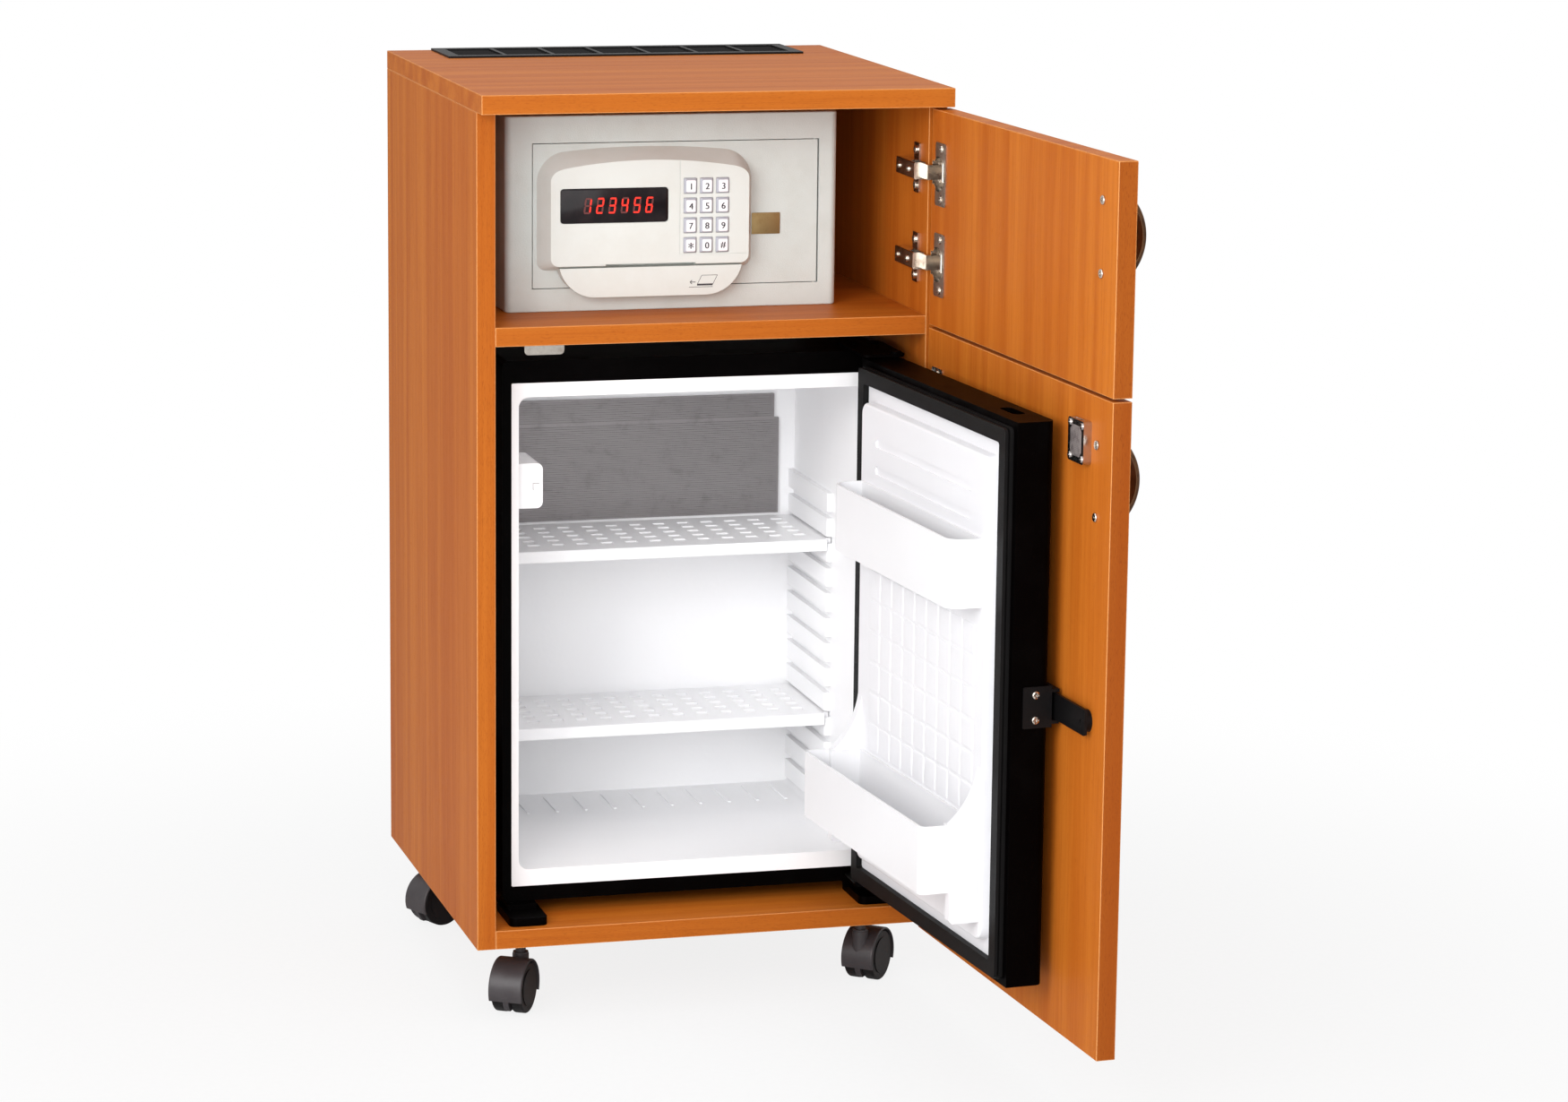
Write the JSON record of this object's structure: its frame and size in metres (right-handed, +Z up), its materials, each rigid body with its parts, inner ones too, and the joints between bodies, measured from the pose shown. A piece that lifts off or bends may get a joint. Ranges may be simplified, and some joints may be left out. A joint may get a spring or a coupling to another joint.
{
  "type": "hotel minibar cabinet",
  "caption": "Wooden bedside cabinet on castors with a small cold box and door bins below, an electronic safe above and two hinged wooden doors.",
  "frame": {"origin": "on the floor under the middle of the front edges of the side boards", "axes": "+X to the right seen from the front, +Y from the front to the back, +Z up"},
  "size_m": [0.4999, 0.8968, 0.897],
  "materials": {
    "beech_laminate": "satin",
    "black_plastic": "satin",
    "nickel_steel": "polished",
    "handle_bronze": "satin",
    "lock_metal": "polished",
    "black_paint": "satin",
    "white_liner": "gloss",
    "white_parts": "satin",
    "foam": "matte",
    "cold_aluminium": "satin",
    "black_rubber": "satin",
    "unit_black": "matte",
    "safe_cream": "satin",
    "panel_cream": "satin",
    "key_white": "satin",
    "castor_black": "satin"
  },
  "bodies": {
    "cabinet": {"top_panel": "beech_laminate", "left_side_panel": "beech_laminate", "right_side_panel": "beech_laminate", "bottom_panel": "beech_laminate", "middle_shelf": "beech_laminate", "rear_panels": "beech_laminate", "vent_grille": "black_plastic", "hinge_arms": "nickel_steel", "strike_plate": "nickel_steel", "fridge_casing": "black_paint", "fridge_liner": "white_liner", "insulation_foam": "foam", "evaporator_plate": "cold_aluminium", "thermostat_box": "white_parts", "fridge_shelves": "white_parts", "fridge_brackets": "black_paint", "cooling_unit": "unit_black", "safe_body": "safe_cream"},
    "upper_door": {"upper_door_panel": "beech_laminate", "upper_hinge_cups": "nickel_steel", "upper_handle": "handle_bronze", "upper_door_screws": "nickel_steel"},
    "lower_door": {"lower_door_panel": "beech_laminate", "lower_hinge_cups": "nickel_steel", "lower_handle": "handle_bronze", "lower_door_screws": "nickel_steel", "lock_case": "lock_metal", "coupling_strip": "black_plastic"},
    "lock_plug_body": {"lock_plug": "lock_metal"},
    "lock_bolt_body": {"lock_bolt": "nickel_steel"},
    "fridge_door": {"fridge_door_shell": "black_paint", "fridge_door_foam": "foam", "fridge_door_liner": "white_liner", "fridge_door_gasket": "black_rubber", "bottle_bins": "white_parts", "coupling_bracket": "black_plastic"},
    "light_switch": {"light_switch_button": "white_parts"},
    "safe_door_body": {"safe_door": "safe_cream", "safe_control_panel": "panel_cream"},
    "safe_bolt_carriage": {"safe_bolts": "nickel_steel"},
    "key_1": {"safe_key_1": "key_white"},
    "key_2": {"safe_key_2": "key_white"},
    "key_3": {"safe_key_3": "key_white"},
    "key_4": {"safe_key_4": "key_white"},
    "key_5": {"safe_key_5": "key_white"},
    "key_6": {"safe_key_6": "key_white"},
    "key_7": {"safe_key_7": "key_white"},
    "key_8": {"safe_key_8": "key_white"},
    "key_9": {"safe_key_9": "key_white"},
    "key_star": {"safe_key_star": "key_white"},
    "key_0": {"safe_key_0": "key_white"},
    "key_hash": {"safe_key_hash": "key_white"},
    "castor_front_left_swivel": {"castor_front_left_housing": "castor_black"},
    "castor_front_left_wheel_pair": {"castor_front_left_wheels": "castor_black"},
    "castor_front_right_swivel": {"castor_front_right_housing": "castor_black"},
    "castor_front_right_wheel_pair": {"castor_front_right_wheels": "castor_black"},
    "castor_rear_left_swivel": {"castor_rear_left_housing": "castor_black"},
    "castor_rear_left_wheel_pair": {"castor_rear_left_wheels": "castor_black"},
    "castor_rear_right_swivel": {"castor_rear_right_housing": "castor_black"},
    "castor_rear_right_wheel_pair": {"castor_rear_right_wheels": "castor_black"}
  },
  "joints": [
    {"name": "upper_door_hinge", "type": "hinge", "parent": "cabinet", "child": "upper_door", "pos_m": [0.2205, -0.012, 0.7715], "axis": [0, 0, 1], "range_deg": [-93.2, 4]},
    {"name": "lower_door_hinge", "type": "hinge", "parent": "cabinet", "child": "lower_door", "pos_m": [0.2205, -0.012, 0.369], "axis": [0, 0, 1], "range_deg": [-93.2, 4]},
    {"name": "fridge_door_hinge", "type": "hinge", "parent": "cabinet", "child": "fridge_door", "pos_m": [0.184, 0.013, 0.3755], "axis": [0, 0, 1], "range_deg": [-94.5, 4.2]},
    {"name": "lock_turn", "type": "hinge", "parent": "lower_door", "child": "lock_plug_body", "pos_m": [0.25039, -0.39443, 0.622], "axis": [-0.9984, -0.0558, 0], "range_deg": [0, 90]},
    {"name": "lock_bolt_slide", "type": "slide", "parent": "lower_door", "child": "lock_bolt_body", "axis": [0, 0, 1], "range_m": [0, 0.012]},
    {"name": "light_switch_press", "type": "slide", "parent": "cabinet", "child": "light_switch", "axis": [0, 1, 0], "range_m": [0, 0.002], "stiffness_N_per_m": 300},
    {"name": "safe_door_hinge", "type": "hinge", "parent": "cabinet", "child": "safe_door_body", "pos_m": [0.1235, 0.0925, 0.76775], "axis": [0, 0, 1], "range_deg": [0, 95]},
    {"name": "safe_bolt_slide", "type": "slide", "parent": "safe_door_body", "child": "safe_bolt_carriage", "axis": [-1, 0, 0], "range_m": [0, 0.012]},
    {"name": "key_1_press", "type": "slide", "parent": "safe_door_body", "child": "key_1", "axis": [0, 1, 0], "range_m": [0, 0.0018], "stiffness_N_per_m": 400},
    {"name": "key_2_press", "type": "slide", "parent": "safe_door_body", "child": "key_2", "axis": [0, 1, 0], "range_m": [0, 0.0018], "stiffness_N_per_m": 400},
    {"name": "key_3_press", "type": "slide", "parent": "safe_door_body", "child": "key_3", "axis": [0, 1, 0], "range_m": [0, 0.0018], "stiffness_N_per_m": 400},
    {"name": "key_4_press", "type": "slide", "parent": "safe_door_body", "child": "key_4", "axis": [0, 1, 0], "range_m": [0, 0.0018], "stiffness_N_per_m": 400},
    {"name": "key_5_press", "type": "slide", "parent": "safe_door_body", "child": "key_5", "axis": [0, 1, 0], "range_m": [0, 0.0018], "stiffness_N_per_m": 400},
    {"name": "key_6_press", "type": "slide", "parent": "safe_door_body", "child": "key_6", "axis": [0, 1, 0], "range_m": [0, 0.0018], "stiffness_N_per_m": 400},
    {"name": "key_7_press", "type": "slide", "parent": "safe_door_body", "child": "key_7", "axis": [0, 1, 0], "range_m": [0, 0.0018], "stiffness_N_per_m": 400},
    {"name": "key_8_press", "type": "slide", "parent": "safe_door_body", "child": "key_8", "axis": [0, 1, 0], "range_m": [0, 0.0018], "stiffness_N_per_m": 400},
    {"name": "key_9_press", "type": "slide", "parent": "safe_door_body", "child": "key_9", "axis": [0, 1, 0], "range_m": [0, 0.0018], "stiffness_N_per_m": 400},
    {"name": "key_star_press", "type": "slide", "parent": "safe_door_body", "child": "key_star", "axis": [0, 1, 0], "range_m": [0, 0.0018], "stiffness_N_per_m": 400},
    {"name": "key_0_press", "type": "slide", "parent": "safe_door_body", "child": "key_0", "axis": [0, 1, 0], "range_m": [0, 0.0018], "stiffness_N_per_m": 400},
    {"name": "key_hash_press", "type": "slide", "parent": "safe_door_body", "child": "key_hash", "axis": [0, 1, 0], "range_m": [0, 0.0018], "stiffness_N_per_m": 400},
    {"name": "castor_front_left_swivel_turn", "type": "hinge", "parent": "cabinet", "child": "castor_front_left_swivel", "pos_m": [-0.172, 0.061, 0.06], "axis": [0, 0, 1], "continuous": true},
    {"name": "castor_front_left_roll", "type": "hinge", "parent": "castor_front_left_swivel", "child": "castor_front_left_wheel_pair", "pos_m": [-0.18207, 0.04489, 0.025], "axis": [0.848, -0.5299, 0], "continuous": true},
    {"name": "castor_front_right_swivel_turn", "type": "hinge", "parent": "cabinet", "child": "castor_front_right_swivel", "pos_m": [0.172, 0.061, 0.06], "axis": [0, 0, 1], "continuous": true},
    {"name": "castor_front_right_roll", "type": "hinge", "parent": "castor_front_right_swivel", "child": "castor_front_right_wheel_pair", "pos_m": [0.18434, 0.07545, 0.025], "axis": [-0.7604, 0.6494, 0], "continuous": true},
    {"name": "castor_rear_left_swivel_turn", "type": "hinge", "parent": "cabinet", "child": "castor_rear_left_swivel", "pos_m": [-0.176, 0.378, 0.06], "axis": [0, 0, 1], "continuous": true},
    {"name": "castor_rear_left_roll", "type": "hinge", "parent": "castor_rear_left_swivel", "child": "castor_rear_left_wheel_pair", "pos_m": [-0.19322, 0.36997, 0.025], "axis": [0.4226, -0.9063, 0], "continuous": true},
    {"name": "castor_rear_right_swivel_turn", "type": "hinge", "parent": "cabinet", "child": "castor_rear_right_swivel", "pos_m": [0.176, 0.378, 0.06], "axis": [0, 0, 1], "continuous": true},
    {"name": "castor_rear_right_roll", "type": "hinge", "parent": "castor_rear_right_swivel", "child": "castor_rear_right_wheel_pair", "pos_m": [0.1727, 0.39671, 0.025], "axis": [-0.9848, -0.1736, 0], "continuous": true}
  ],
  "couplings": [
    {"joint": "fridge_door_hinge", "follows": "lower_door_hinge", "ratio": 1.0129},
    {"joint": "lock_turn", "follows": "lock_bolt_slide", "rad_per_m": 130.9}
  ]
}
